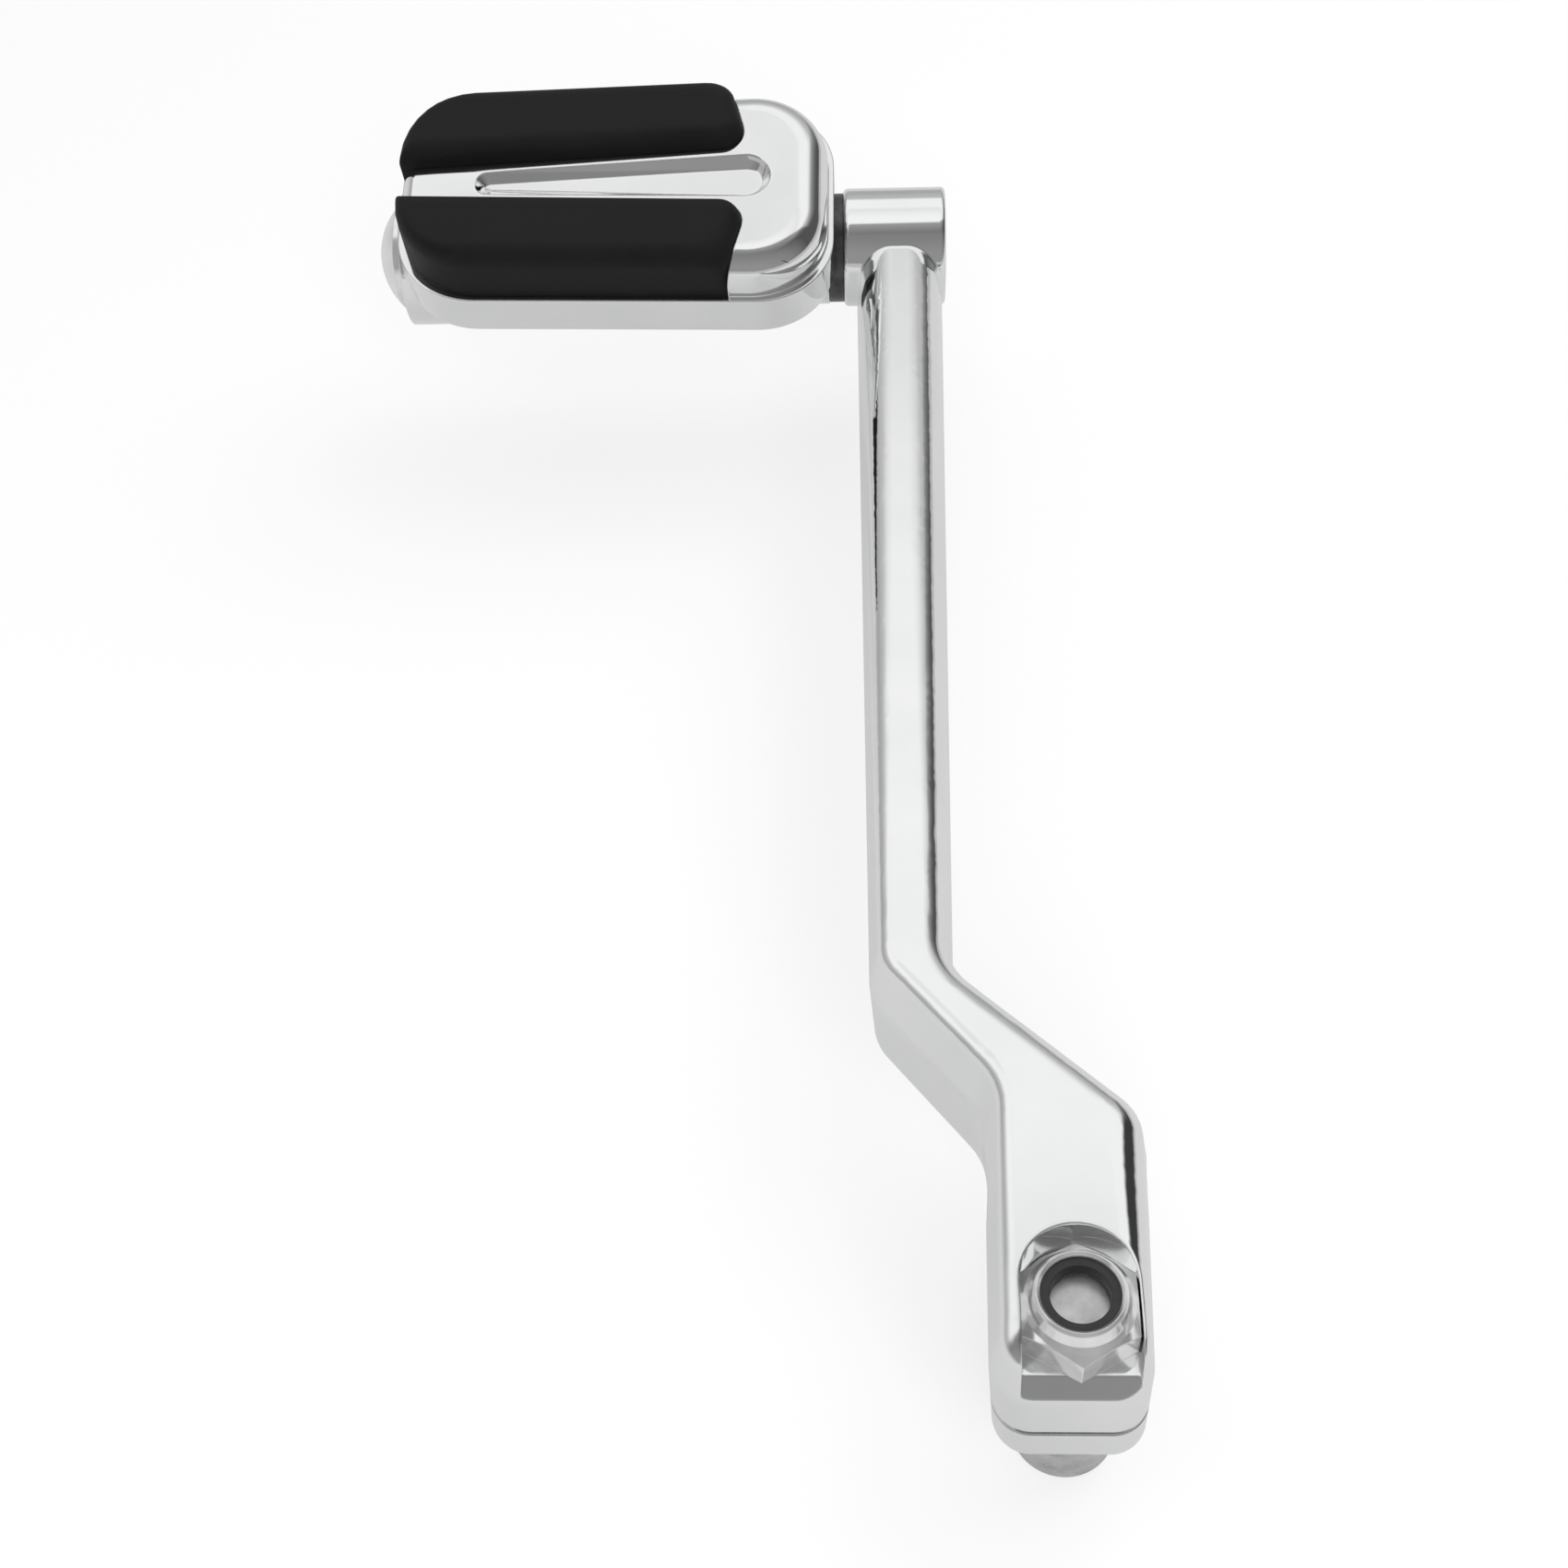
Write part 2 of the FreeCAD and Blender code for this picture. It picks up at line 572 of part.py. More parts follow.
def peg_body():
    """Peg casting: base flange, raised T-shaped crown with a groove, and the tube for its bolt."""
    flange = prism(peg_outline(0, FLANGE_BOTTOM_Z), Vector(0, 0, FLANGE_TOP_Z - FLANGE_BOTTOM_Z))
    low_edges = edges_where(flange, lambda e: e.BoundBox.ZMax < FLANGE_BOTTOM_Z + 1e-3)
    flange = flange.makeFillet(FLANGE_EDGE_R, low_edges)
    crown_height = Vector(0, 0, SPINE_TOP_Z - FLANGE_TOP_Z)
    crown = prism(peg_outline(CAP_INSET, FLANGE_TOP_Z), crown_height)
    top_edges = edges_where(crown, lambda e: e.BoundBox.ZMin > SPINE_TOP_Z - 1e-3)
    crown = crown.makeFillet(CAP_EDGE_R, top_edges)
    fall = [
        (CAP_X, SPINE_TOP_Z, 0),
        (PEG_OUTER_X - OVERCUT, SPINE_TOP_Z, 0),
        (PEG_OUTER_X - OVERCUT, SPINE_TOP_Z - SPINE_FALL, 0),
    ]
    fall_wire = rounded_wire(fall, lambda x, z: Vector(x, -PEG_CAP_HALF, z))
    sloped = prism(fall_wire, Vector(0, 2 * PEG_CAP_HALF, 0))
    crown = crown.common(prism(spine_outline(FLANGE_TOP_Z), crown_height)).cut(sloped)
    tube = x_cylinder(PEG_TUBE_R, PEG_TUBE_X, CAP_X)
    spigot = x_cylinder(PEG_SPIGOT_R, CAP_X, PEG_INNER_X)
    groove = Part.makeLoft([groove_outline(0, SPINE_TOP_Z),
                            groove_outline(GROOVE_DRAFT, SPINE_TOP_Z - GROOVE_DEPTH)], True, True)
    bore = x_cylinder(PEG_BORE_R, PEG_TUBE_X - OVERCUT, PEG_NOSE_X + OVERCUT)
    recess = x_cylinder(LOCK_WASHER_R + LOCK_WASHER_RELIEF, PEG_INNER_X, PEG_NOSE_X + OVERCUT)
    body = flange.fuse([crown, tube, spigot]).removeSplitter()
    return placed_on_peg(body.cut([groove, bore, recess]))


def pad(side):
    """Rubber bar beside the spine, on the flange; side is -1 nearest the clamp, 1 farthest."""
    wide = 2 * PEG_CAP_HALF
    strip = [
        (CAP_X, SPINE_HALF_AT_CAP * side, PAD_CORNER_R),
        (PEG_OUTER_X - OVERCUT, SPINE_HALF_AT_END * side, 0),
        (PEG_OUTER_X - OVERCUT, wide * side, 0),
        (swept_x(wide), wide * side, 0),
    ]
    foot = Part.Face(peg_outline(PAD_INSET, FLANGE_TOP_Z))
    outline = foot.common(Part.Face(rounded_wire(strip, in_plan(FLANGE_TOP_Z))))
    bar = outline.extrude(Vector(0, 0, PAD_TOP_Z - FLANGE_TOP_Z))
    bar = bar.makeFillet(PAD_EDGE_R, edges_where(bar, lambda e: e.BoundBox.ZMin > PAD_TOP_Z - OVERCUT))
    return placed_on_peg(bar)


def peg_bolt():
    """Button-head socket screw that runs through the peg into the boss."""
    seat = PEG_HEAD_X
    shank = x_cylinder(PEG_BOLT_R, seat, seat + PEG_BOLT_LENGTH, BOSS_Y, BOSS_Z)
    dome_r = (PEG_HEAD_R ** 2 + PEG_HEAD_H ** 2) / (2 * PEG_HEAD_H)
    dome = Part.makeSphere(dome_r, Vector(seat - PEG_HEAD_H + dome_r, BOSS_Y, BOSS_Z))
    head = x_cylinder(PEG_HEAD_R, seat - PEG_HEAD_H, seat, BOSS_Y, BOSS_Z).common(dome)
    socket = prism(hexagon(PEG_SOCKET_FLATS, in_side(seat - PEG_HEAD_H), 0), Vector(PEG_SOCKET_DEPTH, 0, 0))
    socket.translate(Vector(0, BOSS_Y, BOSS_Z))
    return head.fuse(shank).cut(socket).removeSplitter()


def washer(outer_r, x0, thickness):
    hole = x_cylinder(PEG_BOLT_R + WASHER_CLEARANCE, x0 - OVERCUT, x0 + thickness + OVERCUT, BOSS_Y, BOSS_Z)
    return x_cylinder(outer_r, x0, x0 + thickness, BOSS_Y, BOSS_Z).cut(hole)


def peg_bolt_washer():
    return washer(WASHER_R, PEG_HEAD_X, WASHER_T)


def peg_lock_washer():
    """Split spring washer between the peg and the boss, drawn clamped flat."""
    ring = washer(LOCK_WASHER_R, LOCK_WASHER_X, LOCK_WASHER_T)
    split = Part.makeBox(3 * LOCK_WASHER_T, LOCK_WASHER_SPLIT, 2 * LOCK_WASHER_R,
                         Vector(-1.5 * LOCK_WASHER_T, -LOCK_WASHER_SPLIT / 2, -2 * LOCK_WASHER_R))
    split.rotate(Vector(0, 0, 0), Z_AXIS, LOCK_WASHER_SLANT)
    split.translate(Vector(LOCK_WASHER_X + LOCK_WASHER_T / 2, BOSS_Y, BOSS_Z))
    return ring.cut(split)


def main():
    os.makedirs("parts", exist_ok=True)
    parts = {
        "lever_arm": lever_arm(),
        "pinch_bolt": pinch_bolt(),
        "pinch_nut": pinch_nut(),
        "pinch_nut_insert": pinch_nut_insert(),
        "peg_body": peg_body(),
        "rear_pad": pad(-1),
        "front_pad": pad(1),
        "peg_bolt": peg_bolt(),
        "peg_bolt_washer": peg_bolt_washer(),
        "peg_lock_washer": peg_lock_washer(),
    }
    for name, shape in parts.items():
        shape.exportStep(f"parts/{name}.step")
        print(name, len(shape.Solids), shape.isValid(), round(shape.Volume, 1))


main()
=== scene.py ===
"""Looks of the gear shift lever: chrome, plated steel, nylon and rubber on a white studio floor."""

import json
import math

import bpy
from mathutils import Matrix, Vector


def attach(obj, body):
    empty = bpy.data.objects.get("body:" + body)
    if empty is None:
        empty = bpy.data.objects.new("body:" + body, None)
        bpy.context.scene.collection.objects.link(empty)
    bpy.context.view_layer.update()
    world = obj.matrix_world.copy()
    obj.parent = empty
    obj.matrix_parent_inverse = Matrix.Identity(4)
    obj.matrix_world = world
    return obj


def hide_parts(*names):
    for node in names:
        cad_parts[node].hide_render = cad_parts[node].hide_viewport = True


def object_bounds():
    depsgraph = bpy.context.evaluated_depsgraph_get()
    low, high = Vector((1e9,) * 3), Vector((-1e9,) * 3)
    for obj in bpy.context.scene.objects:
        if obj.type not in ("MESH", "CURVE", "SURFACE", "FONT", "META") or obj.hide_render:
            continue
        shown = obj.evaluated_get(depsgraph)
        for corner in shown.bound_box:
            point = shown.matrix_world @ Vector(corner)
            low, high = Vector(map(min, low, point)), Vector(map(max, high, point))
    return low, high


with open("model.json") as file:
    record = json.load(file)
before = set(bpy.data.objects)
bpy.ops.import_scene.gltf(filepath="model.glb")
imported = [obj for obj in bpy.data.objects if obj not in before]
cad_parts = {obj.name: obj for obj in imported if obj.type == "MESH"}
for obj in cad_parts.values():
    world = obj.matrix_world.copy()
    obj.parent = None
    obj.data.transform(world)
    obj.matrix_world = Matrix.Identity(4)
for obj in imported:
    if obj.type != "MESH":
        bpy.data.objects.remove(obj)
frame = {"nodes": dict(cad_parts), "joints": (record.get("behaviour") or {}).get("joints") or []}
nodes = frame["nodes"]
cad_low, cad_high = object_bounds()

# Peg and pads in the peg's own frame, in metres
PEG_CLOCKING_DEG = 15.0
PAD_BASE = 0.0114
PAD_TOP = 0.0212
PAD_EDGE_R = 0.0030
PAD_SPINE_END = (-0.0410, 0.0054)
PAD_CAP_END = (-0.04427, 0.01809)
PAD_OUTER_END = (-0.0967, 0.0167)
PAD_SPINE_TIP = (-0.0967, 0.00337)
PAD_INNER_CORNER_R = 0.0036
PAD_OUTER_CORNER_R = 0.0129
PAD_FOOT_CORNER_R = 0.0006
PAD_TOP_CORNER_R = 0.0045
PAD_LEAST_R = 0.0003
PAD_OUTER_SHRINK = 2.0
PAD_SHARP_DEG = 40.0
ARC_STEPS = 8
GROOVE_BIG_X = -0.0416
GROOVE_SMALL_X = -0.0824
GROOVE_RIM_Z = 0.0172
GROOVE_RIM_BIG = 0.0037
GROOVE_RIM_SMALL = 0.00117
GROOVE_WIDE_BIG = 0.0041
GROOVE_WIDE_SMALL = 0.00225
GROOVE_SLACK = 0.00025

# Softening of the chrome's edges, in metres: the clamp's left edge is rounder, between these places
EDGE_RADIUS = 0.0006
SOFT_EDGE_RADIUS = 0.0022
SOFT_EDGE_X = (-0.0078, -0.0066)
SOFT_EDGE_Y = (0.002, 0.010)
CHROME_EDGE_SAMPLES = 12
EDGE_SAMPLES = 6
SMALL_EDGE_RADIUS = 0.0002
RUBBER_EDGE_RADIUS = 0.0009

# Materials: noise scales per metre, and bumps as (depth in metres, strength)
HAZE_SCALE = 55
SCRATCH_SCALE = 5200
SCRATCH_STRETCH = (1, 0.02, 1)
PEEL_SCALE = 260
PEEL_BUMP = (0.00002, 0.10)
STEEL_CLOUD_SCALE = 420
STEEL_GRAIN_SCALE = 2600
STEEL_BUMP = (0.00001, 0.3)
STEEL_ROUGHNESS_SPAN = 0.15
NYLON_SCALE = 700
NYLON_BUMP = (0.00005, 0.3)
RUBBER_CLOUD_SCALE = 90
RUBBER_GRAIN_SCALE = 1900
RUBBER_BUMP = (0.00008, 0.35)

# Plated steels: dull grey, bright grey and least roughness
ZINC = (0.86, 0.96, 0.10)
# Pinch bolt: darker than the other plated steel, as painted shade for its end deep inside the nut
BOLT_END_SHADE_ZINC = (0.42, 0.62, 0.22)
# Lock washer: a darker copy of the plated steel, as painted shade for the dark gap between the peg's cap
# and the boss
WASHER_GAP_SHADE = (0.05, 0.12, 0.30)

# Camera, in metres: a 50 mm lens above the clamp, looking along the arm at the peg
CAMERA_AT = Vector((-0.02052, -0.12350, 0.23165))
CAMERA_AIM = Vector((-0.03371, 0.05871, 0.010))
CAMERA_ROLL_DEG = -3.66
LENS_MM = 50.0
SENSOR_MM = 36.0
CLIP_START = 0.01

# Studio, in metres and watts, with the floor's white as seen by the camera and as mirrored in the metal
FLOOR_GAP = 0.0005
FLOOR_SIZE = 16.0
FLOOR_GREY = 0.76
FLOOR_GREY_SEEN = 0.34
FLOOR_LIFT_SEEN = 0.67
FLOOR_LIFT_MIRRORED = 0.36
BACKDROP_R = 7.0
BACKDROP_HEIGHT = 0.8
BACKDROP_SIDES = 64
SIDE_SOFTBOX = {"at": (0.6, 0.5, 0.9), "width": 1.0, "height": 0.9, "watts": 4.0}
FRONT_SOFTBOX = {"at": (0.1, -0.7, 0.8), "width": 0.9, "height": 0.6, "watts": 6.0}

# Brightness of the studio by direction, as (position, grey) stops: by height from horizon to zenith,
# by depth from the near wall to the back wall, and across to the dark right wall. Depth and across are
# measured along the slanted directions given with them.
BY_HEIGHT = [(0.0, 0.40), (0.25, 0.42), (0.50, 0.56), (0.70, 0.96), (0.86, 0.97), (0.91, 0.84), (1.0, 1.0)]
DEPTH_WAY = (-0.35, 1.0, 0.0)
BY_DEPTH = [(-0.95, 0.50), (-0.75, 0.26), (-0.45, 0.24), (-0.14, 0.36), (-0.08, 1.0)]
ACROSS_WAY = (1.0, -0.6, -1.0)
ACROSS = [(-0.35, 1.0), (-0.19, 0.55), (0.0, 0.32), (0.16, 0.16)]
NEAR_WALL = [(-0.9, 0.30), (-0.5, 0.22), (-0.1, 0.09)]
WAY_REACH = 2

# Dark card beside the clamp, which only its reflection shows
CARD_AT = (0.078, 0.040, 0.055)
CARD_FACES = (0.012, -0.025, 0.015)
CARD_WIDTH = 0.062
CARD_HEIGHT = 0.08
CARD_GREY = 0.045
CARD_FADE = (0.55, 1.0)


def new_material(name):
    material = bpy.data.materials.new(name)
    material.use_nodes = True
    tree = material.node_tree
    return material, tree, tree.nodes["Principled BSDF"]


def add(tree, kind, **inputs):
    """New node with its input sockets set by name, spaces written as underscores."""
    node = tree.nodes.new(kind)
    for name, value in inputs.items():
        node.inputs[name.replace("_", " ")].default_value = value
    return node


def object_coords(tree, scale):
    """Coordinates in the part's frame, stretched by a factor per axis."""
    coords = tree.nodes.new("ShaderNodeTexCoord")
    mapping = add(tree, "ShaderNodeMapping", Scale=scale)
    tree.links.new(coords.outputs["Object"], mapping.inputs["Vector"])
    return mapping.outputs["Vector"]


def noise(tree, vector, scale, detail=4.0, roughness=0.55):
    node = add(tree, "ShaderNodeTexNoise", Scale=scale, Detail=detail, Roughness=roughness)
    tree.links.new(vector, node.inputs["Vector"])
    return node.outputs["Fac"]


def remap(tree, value, from_low, from_high, to_low, to_high):
    node = add(tree, "ShaderNodeMapRange",
               From_Min=from_low, From_Max=from_high, To_Min=to_low, To_Max=to_high)
    tree.links.new(value, node.inputs["Value"])
    return node.outputs["Result"]


def combine(tree, operation, a, b):
    node = tree.nodes.new("ShaderNodeMath")
    node.operation = operation
    tree.links.new(a, node.inputs[0])
    tree.links.new(b, node.inputs[1])
    return node.outputs["Value"]


def ramp(tree, value, stops):
    """Colour ramp from (position, colour) stops."""
    node = tree.nodes.new("ShaderNodeValToRGB")
    elements = node.color_ramp.elements
    while len(elements) < len(stops):
        elements.new(0.5)
    for element, (position, colour) in zip(elements, stops):
        element.position = position
        element.color = (*colour, 1)
    tree.links.new(value, node.inputs["Fac"])
    return node.outputs["Color"]


def rounded_normal(tree, radius, samples=EDGE_SAMPLES):
    """Normal that softens sharp edges by a radius, given as a number or as a socket."""
    node = tree.nodes.new("ShaderNodeBevel")
    node.samples = samples
    if isinstance(radius, float):
        node.inputs["Radius"].default_value = radius
    else:
        tree.links.new(radius, node.inputs["Radius"])
    return node.outputs["Normal"]


def polished_edge(tree):
    """Edge softening of the chrome: wide along the clamp's left edge, slight elsewhere."""
    place = tree.nodes.new("ShaderNodeSeparateXYZ")
    tree.links.new(object_coords(tree, (1, 1, 1)), place.inputs["Vector"])
    left = remap(tree, place.outputs["X"], *SOFT_EDGE_X, 1, 0)
    near = remap(tree, place.outputs["Y"], *SOFT_EDGE_Y, 1, 0)
    return remap(tree, combine(tree, "MULTIPLY", left, near), 0, 1, EDGE_RADIUS, SOFT_EDGE_RADIUS)


def bump(tree, height, distance, strength, normal):
    node = add(tree, "ShaderNodeBump", Distance=distance, Strength=strength)
    tree.links.new(height, node.inputs["Height"])
    tree.links.new(normal, node.inputs["Normal"])
    return node.outputs["Normal"]


def chrome():
    """Bright plate with a faint haze, a trace of orange peel and hairline scratches along the arm."""
    material, tree, shader = new_material("chrome_plate")
    shader.inputs["Metallic"].default_value = 1.0
    plain = object_coords(tree, (1, 1, 1))
    haze = noise(tree, plain, HAZE_SCALE)
    tree.links.new(ramp(tree, haze, [(0.3, (0.86, 0.865, 0.87)), (0.7, (0.92, 0.922, 0.925))]),
                   shader.inputs["Base Color"])
    scratch = noise(tree, object_coords(tree, SCRATCH_STRETCH), SCRATCH_SCALE, 2.0)
    hairline = remap(tree, scratch, 0.66, 0.74, 0.0, 0.07)
    mist = remap(tree, haze, 0.3, 0.75, 0.035, 0.07)
    tree.links.new(combine(tree, "ADD", mist, hairline), shader.inputs["Roughness"])
    peel = noise(tree, plain, PEEL_SCALE, 1.0)
    rounded = rounded_normal(tree, polished_edge(tree), CHROME_EDGE_SAMPLES)
    tree.links.new(bump(tree, peel, *PEEL_BUMP, rounded), shader.inputs["Normal"])
    return material


def plated_steel(name, dull, bright, polish):
    """Zinc plate: fine grain, a cloudy tone between two greys and a roughness that starts at polish."""
    material, tree, shader = new_material(name)
    shader.inputs["Metallic"].default_value = 0.8
    plain = object_coords(tree, (1, 1, 1))
    cloud = noise(tree, plain, STEEL_CLOUD_SCALE)
    tree.links.new(ramp(tree, cloud, [(0.3, (dull,) * 3), (0.7, (bright,) * 3)]),
                   shader.inputs["Base Color"])
    roughness = remap(tree, cloud, 0.25, 0.75, polish, polish + STEEL_ROUGHNESS_SPAN)
    tree.links.new(roughness, shader.inputs["Roughness"])
    grain = noise(tree, plain, STEEL_GRAIN_SCALE, 3.0)
    rounded = rounded_normal(tree, SMALL_EDGE_RADIUS)
    tree.links.new(bump(tree, grain, *STEEL_BUMP, rounded), shader.inputs["Normal"])
    return material


def nylon():
    """Dark grey moulded ring with a dull, slightly uneven face."""
    material, tree, shader = new_material("grey_nylon")
    plain = object_coords(tree, (1, 1, 1))
    mottle = noise(tree, plain, NYLON_SCALE)
    tree.links.new(ramp(tree, mottle, [(0.3, (0.012, 0.012, 0.013)), (0.7, (0.022, 0.022, 0.023))]),
                   shader.inputs["Base Color"])
    tree.links.new(remap(tree, mottle, 0.3, 0.7, 0.38, 0.5), shader.inputs["Roughness"])
    rounded = rounded_normal(tree, SMALL_EDGE_RADIUS)
    tree.links.new(bump(tree, mottle, *NYLON_BUMP, rounded), shader.inputs["Normal"])
    return material


def rubber():
    """Matte black moulded rubber: fine pebble grain, dusty high spots."""
    material, tree, shader = new_material("pad_rubber")
    plain = object_coords(tree, (1, 1, 1))
    cloud = noise(tree, plain, RUBBER_CLOUD_SCALE)
    tree.links.new(ramp(tree, cloud, [(0.3, (0.006, 0.006, 0.0065)), (0.75, (0.011, 0.011, 0.0115))]),
                   shader.inputs["Base Color"])
    tree.links.new(remap(tree, cloud, 0.3, 0.75, 0.55, 0.7), shader.inputs["Roughness"])
    shader.inputs["Specular IOR Level"].default_value = 0.22
    grain = noise(tree, plain, RUBBER_GRAIN_SCALE, 2.0)
    rounded = rounded_normal(tree, RUBBER_EDGE_RADIUS)
    tree.links.new(bump(tree, grain, *RUBBER_BUMP, rounded), shader.inputs["Normal"])
    return material


def dress(node, material):
    """Give a CAD node its material and smooth its facets."""
    piece = nodes[node]
    piece.data.materials.clear()
    piece.data.materials.append(material)
    piece.data.polygons.foreach_set("use_smooth", [True] * len(piece.data.polygons))


def on_peg():
    """Placement of the peg's own frame: x as the part's, y across the tread, z up from the bolt axis."""
    axis = Vector(frame["joints"][0]["pos_m"])
    return Matrix.Translation((0, axis.y, axis.z)) @ Matrix.Rotation(math.radians(PEG_CLOCKING_DEG), 4, "X")


def replace_node(name, node, mesh, material):
    """Put a finished mesh in the place of a CAD node of the peg."""
    mesh.materials.clear()
    mesh.materials.append(material)
    piece = bpy.data.objects.new(name, mesh)
    bpy.context.scene.collection.objects.link(piece)
    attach(piece, "peg")
    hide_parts(node)
    return piece


def rounded_outline(corners, inset):
    """Points of a convex outline through (x, y, radius) corners, with its sides moved inwards."""
    points = []
    for i, (x, y, radius) in enumerate(corners):
        here = Vector((x, y))
        ahead = (Vector(corners[(i + 1) % len(corners)][:2]) - here).normalized()
        back = (Vector(corners[i - 1][:2]) - here).normalized()
        half = back.angle(ahead) / 2
        inward = (back + ahead).normalized()
        centre = here + inward * ((inset + radius) / math.sin(half))
        sweep = math.pi / 2 - half
        for step in range(ARC_STEPS + 1):
            turn = Matrix.Rotation(sweep * (2 * step / ARC_STEPS - 1), 2)
            points.append(centre + turn @ -inward * radius)
    return points


def pad_layers():
    """Heights of the pad's outlines with their insets: upright sides, then the rounded top edge."""
    shoulder = PAD_TOP - PAD_EDGE_R
    layers = [(PAD_BASE, 0.0)]
    for step in range(ARC_STEPS + 1):
        angle = math.pi / 2 * step / ARC_STEPS
        layers.append((shoulder + PAD_EDGE_R * math.sin(angle), PAD_EDGE_R * (1 - math.cos(angle))))
    return layers


def moulded_pad(side):
    """Rubber bar beside the spine, whose corner at the cap is sharp at its foot and round at its top."""
    loops = []
    for height, inset in pad_layers():
        risen = (height - PAD_BASE) / (PAD_TOP - PAD_BASE)
        cap_corner_r = PAD_FOOT_CORNER_R + (PAD_TOP_CORNER_R - PAD_FOOT_CORNER_R) * risen
        corners = [
            (*PAD_SPINE_END, max(PAD_INNER_CORNER_R - inset, PAD_LEAST_R)),
            (*PAD_CAP_END, cap_corner_r),
            (*PAD_OUTER_END, PAD_OUTER_CORNER_R - PAD_OUTER_SHRINK * inset),
            (*PAD_SPINE_TIP, PAD_LEAST_R),
        ]
        loops.append([Vector((p.x, side * p.y, height)) for p in rounded_outline(corners, inset)])
    count = len(loops[0])
    faces = [list(range(count))[::-1], list(range((len(loops) - 1) * count, len(loops) * count))]
    for level in range(len(loops) - 1):
        for i in range(count):
            low = level * count
            after = (i + 1) % count
            faces.append([low + i, low + after, low + count + after, low + count + i])
    if side < 0:
        faces = [face[::-1] for face in faces]
    mesh = bpy.data.meshes.new("moulded_pad")
    place = on_peg()
    mesh.from_pydata([place @ point for loop in loops for point in loop], [], faces)
    mesh.polygons.foreach_set("use_smooth", [True] * len(mesh.polygons))
    mesh.set_sharp_from_angle(angle=math.radians(PAD_SHARP_DEG))
    return mesh


def widened_groove():
    """The peg casting with the rim of its groove moved out to the teardrop seen in the photograph."""
    mesh = nodes["peg_body"].data.copy()
    place = on_peg()
    back = place.inverted()
    for vertex in mesh.vertices:
        spot = back @ vertex.co
        along = (GROOVE_BIG_X - spot.x) / (GROOVE_BIG_X - GROOVE_SMALL_X)
        along = min(max(along, 0), 1)
        old = GROOVE_RIM_BIG + (GROOVE_RIM_SMALL - GROOVE_RIM_BIG) * along
        new = GROOVE_WIDE_BIG + (GROOVE_WIDE_SMALL - GROOVE_WIDE_BIG) * along
        centre_x = min(max(spot.x, GROOVE_SMALL_X), GROOVE_BIG_X)
        reach = math.hypot(spot.x - centre_x, spot.y)
        if spot.z > GROOVE_RIM_Z and reach < old + GROOVE_SLACK:
            spot.x = centre_x + (spot.x - centre_x) * new / old
            spot.y = spot.y * new / old
            vertex.co = place @ spot
    return mesh


def stage_piece(name, points, faces, matrix, material):
    mesh = bpy.data.meshes.new(name)
    mesh.from_pydata(points, [], faces)
    mesh.materials.append(material)
    piece = bpy.data.objects.new(name, mesh)
    bpy.context.scene.collection.objects.link(piece)
    piece.matrix_world = matrix
    return piece


def plane(name, size_x, size_y, matrix, material):
    half_x = size_x / 2
    half_y = size_y / 2
    corners = [(-half_x, -half_y, 0), (half_x, -half_y, 0), (half_x, half_y, 0), (-half_x, half_y, 0)]
    return stage_piece(name, corners, [(0, 1, 2, 3)], matrix, material)


def backdrop(matrix, material):
    """Low wall all round, where the floor ends."""
    points = []
    faces = []
    for i in range(BACKDROP_SIDES):
        angle = 2 * math.pi * i / BACKDROP_SIDES
        x = BACKDROP_R * math.cos(angle)
        y = BACKDROP_R * math.sin(angle)
        points += [(x, y, 0), (x, y, BACKDROP_HEIGHT)]
        after = 2 * ((i + 1) % BACKDROP_SIDES)
        faces.append((2 * i, after, after + 1, 2 * i + 1))
    stage_piece("backdrop", points, faces, matrix, material)


def floor_material():
    """Pale floor that keeps a faint shadow: white to the camera, and a little dimmer in the metal."""
    material, tree, shader = new_material("studio_floor")
    shader.inputs["Roughness"].default_value = 1.0
    shader.inputs["Specular IOR Level"].default_value = 0.0
    path = tree.nodes.new("ShaderNodeLightPath")
    camera_ray = path.outputs["Is Camera Ray"]
    mirrored = combine(tree, "MAXIMUM", path.outputs["Is Glossy Ray"], path.outputs["Is Transmission Ray"])
    seen = combine(tree, "MAXIMUM", camera_ray, mirrored)
    lift = combine(tree, "MAXIMUM", remap(tree, camera_ray, 0, 1, 0, FLOOR_LIFT_SEEN),
                   remap(tree, mirrored, 0, 1, 0, FLOOR_LIFT_MIRRORED))
    tree.links.new(remap(tree, seen, 0, 1, FLOOR_GREY, FLOOR_GREY_SEEN), shader.inputs["Base Color"])
    tree.links.new(lift, shader.inputs["Emission Strength"])
    shader.inputs["Emission Color"].default_value = (1, 1, 1, 1)
    return material


def card_material():
    """Dark in the middle and fading out towards the rim."""
    material, tree, shader = new_material("dark_card")
    tree.nodes.remove(shader)
    middle = object_coords(tree, (2 / CARD_WIDTH, 2 / CARD_HEIGHT, 0))
    reach = tree.nodes.new("ShaderNodeVectorMath")
    reach.operation = "LENGTH"
    tree.links.new(middle, reach.inputs[0])
    mix = tree.nodes.new("ShaderNodeMixShader")
    tree.links.new(remap(tree, reach.outputs["Value"], *CARD_FADE, 0, 1), mix.inputs["Fac"])
    glow = add(tree, "ShaderNodeEmission", Strength=CARD_GREY)
    tree.links.new(glow.outputs["Emission"], mix.inputs[1])
    tree.links.new(tree.nodes.new("ShaderNodeBsdfTransparent").outputs["BSDF"], mix.inputs[2])
    tree.links.new(mix.outputs["Shader"], tree.nodes["Material Output"].inputs["Surface"])
    return material


def dark_card():
    """Card at the clamp's right that only mirrors see."""
    turn = (Vector(CARD_FACES) - Vector(CARD_AT)).to_track_quat("Z", "Y")
    place = Matrix.Translation(CARD_AT) @ turn.to_matrix().to_4x4()
    card = plane("dark_card", CARD_WIDTH, CARD_HEIGHT, place, card_material())
    card.visible_camera = False
    card.visible_diffuse = False
    card.visible_shadow = False


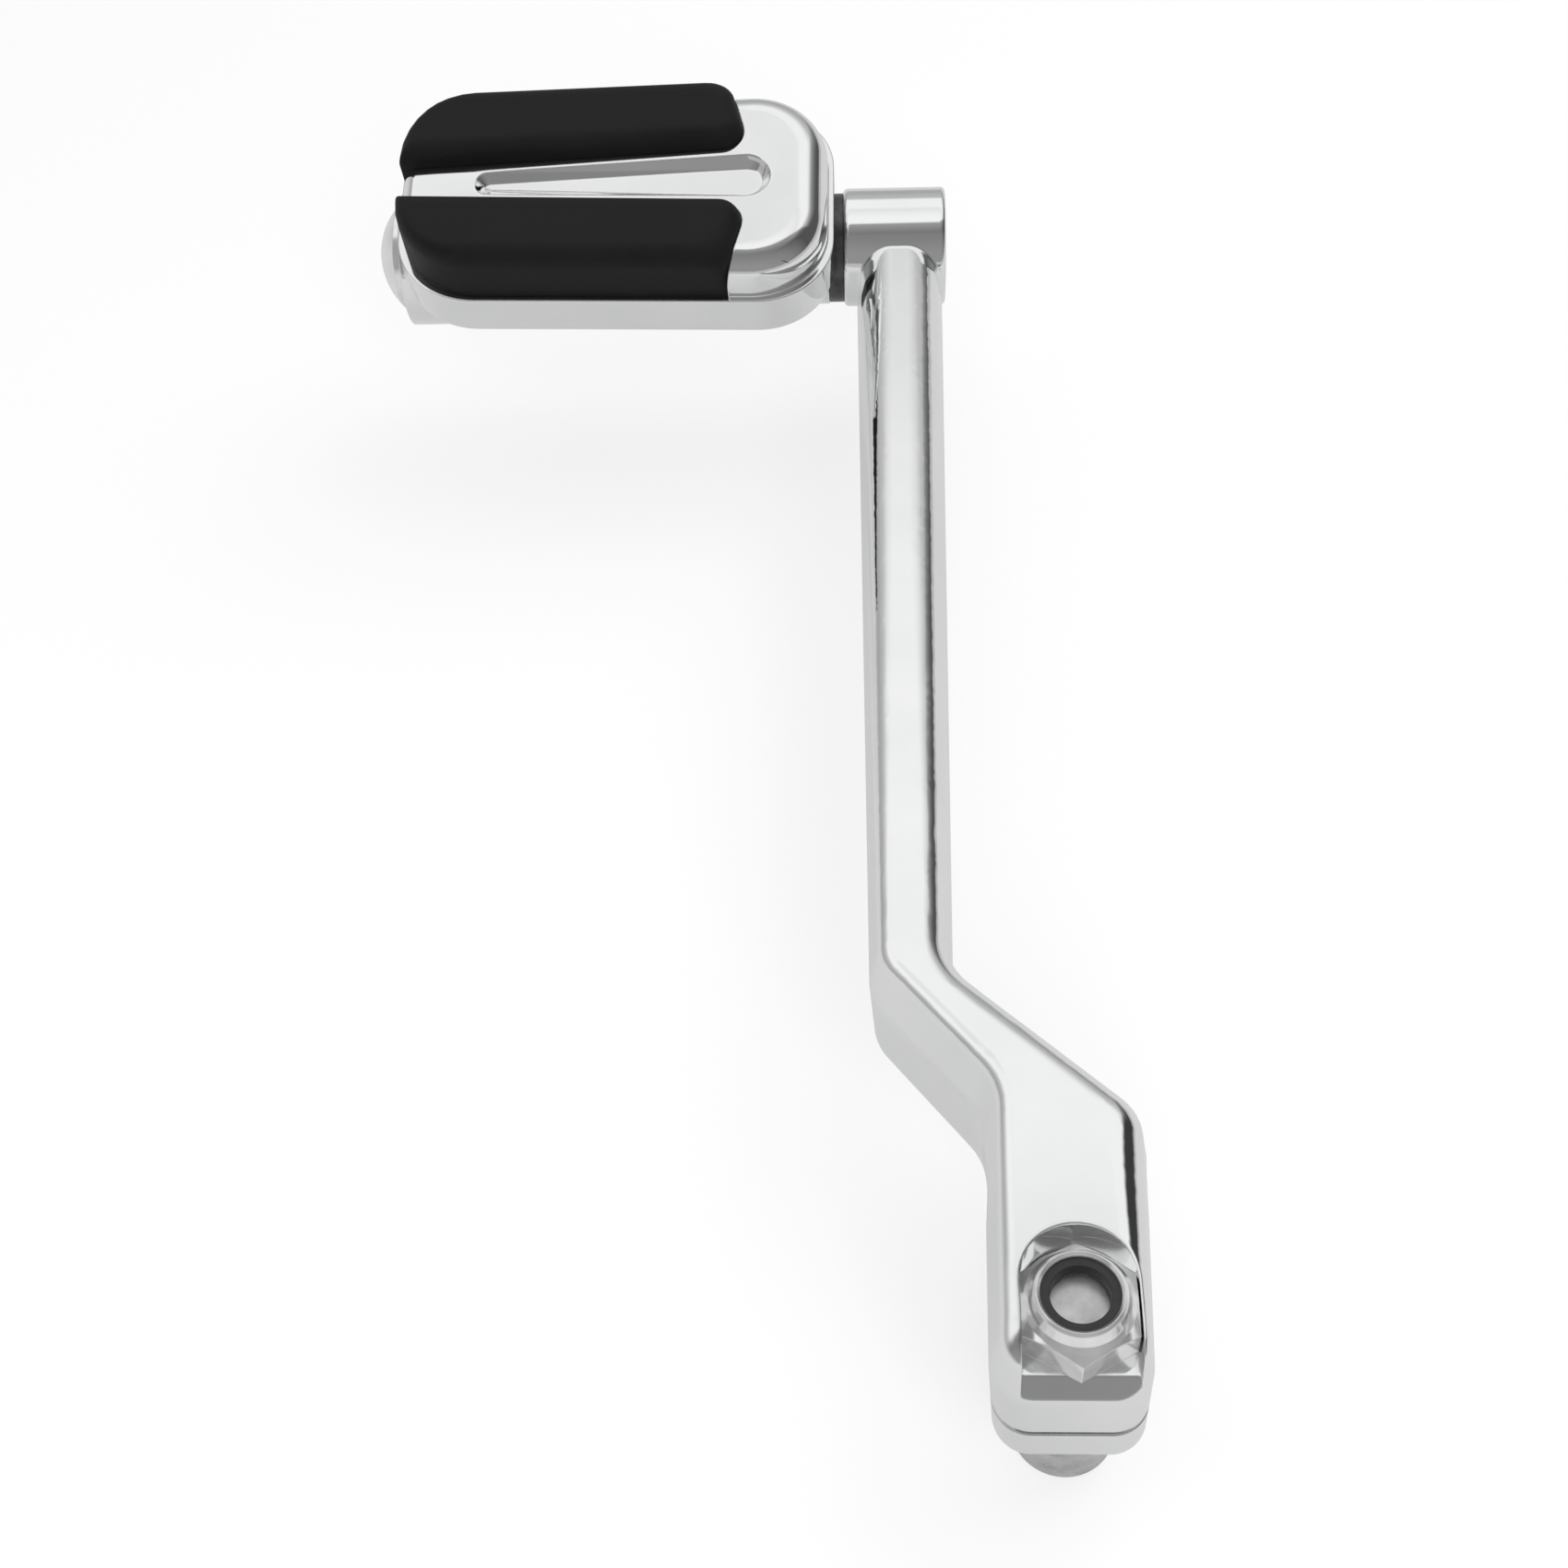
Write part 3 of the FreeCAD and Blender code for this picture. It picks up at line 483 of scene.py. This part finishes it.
def studio_world():
    """Room of soft light: bright above and behind the part, dim behind the camera, dark at the right."""
    world = bpy.data.worlds.new("studio")
    world.use_nodes = True
    tree = world.node_tree
    direction = tree.nodes.new("ShaderNodeTexCoord").outputs["Generated"]

    def by(way, stops):
        """Grey along a direction, which may be up to WAY_REACH units long."""
        along = add(tree, "ShaderNodeVectorMath")
        along.operation = "DOT_PRODUCT"
        along.inputs[1].default_value = way
        tree.links.new(direction, along.inputs[0])
        share = remap(tree, along.outputs["Value"], -WAY_REACH, WAY_REACH, 0, 1)
        spread = 2 * WAY_REACH
        return ramp(tree, share, [((place + WAY_REACH) / spread, (grey,) * 3) for place, grey in stops])

    level = combine(tree, "MULTIPLY", by((0, 0, 1), BY_HEIGHT), by(DEPTH_WAY, BY_DEPTH))
    level = combine(tree, "MULTIPLY", level, by(ACROSS_WAY, ACROSS))
    level = combine(tree, "MAXIMUM", level, by((0, 1, 0), NEAR_WALL))
    tree.links.new(level, tree.nodes["Background"].inputs["Strength"])
    tree.nodes["Background"].inputs["Color"].default_value = (1, 1, 1, 1)
    bpy.context.scene.world = world


def softbox(name, at, aim, width, height, watts):
    lamp = bpy.data.lights.new(name, "AREA")
    lamp.shape = "RECTANGLE"
    lamp.size = width
    lamp.size_y = height
    lamp.energy = watts
    light = bpy.data.objects.new(name, lamp)
    light.location = at
    light.rotation_mode = "QUATERNION"
    light.rotation_quaternion = (Vector(aim) - Vector(at)).to_track_quat("-Z", "Y")
    light.visible_glossy = False
    bpy.context.scene.collection.objects.link(light)


def studio():
    centre = (cad_low + cad_high) / 2
    ground = Matrix.Translation((centre.x, centre.y, cad_low.z - FLOOR_GAP))
    white = floor_material()
    plane("floor", FLOOR_SIZE, FLOOR_SIZE, ground, white)
    backdrop(ground, white)
    softbox("side_softbox", aim=centre, **SIDE_SOFTBOX)
    softbox("front_softbox", aim=centre, **FRONT_SOFTBOX)
    dark_card()
    studio_world()


def camera():
    data = bpy.data.cameras.new("camera")
    data.lens = LENS_MM
    data.sensor_width = SENSOR_MM
    data.clip_start = CLIP_START
    view = bpy.data.objects.new("camera", data)
    level = (CAMERA_AIM - CAMERA_AT).to_track_quat("-Z", "Y").to_matrix().to_4x4()
    roll = Matrix.Rotation(math.radians(CAMERA_ROLL_DEG), 4, "Z")
    view.matrix_world = Matrix.Translation(CAMERA_AT) @ level @ roll
    bpy.context.scene.collection.objects.link(view)
    bpy.context.scene.camera = view


plate = chrome()
steel = plated_steel("zinc_plated_steel", *ZINC)
bolt_shade_steel = plated_steel("pinch_bolt_painted_shade_steel", *BOLT_END_SHADE_ZINC)
washer_shade_steel = plated_steel("lock_washer_painted_shade", *WASHER_GAP_SHADE)
dress("lever_arm", plate)
replace_node("grooved_peg", "peg_body", widened_groove(), plate)
for name in ("pinch_nut", "peg_bolt", "peg_bolt_washer"):
    dress(name, steel)
# The lock washer is painted dark as the shade in the gap between the peg's cap and the boss
dress("peg_lock_washer", washer_shade_steel)
# The pinch bolt is painted darker all over as the shade on its end inside the nut
dress("pinch_bolt", bolt_shade_steel)
dress("pinch_nut_insert", nylon())
black = rubber()
for node, side in (("rear_pad", -1), ("front_pad", 1)):
    pad = replace_node("moulded_" + node, node, moulded_pad(side), black)
    pad.modifiers.new("weighted_normals", "WEIGHTED_NORMAL").keep_sharp = True

camera()
studio()
bpy.context.scene.view_settings.view_transform = "Standard"
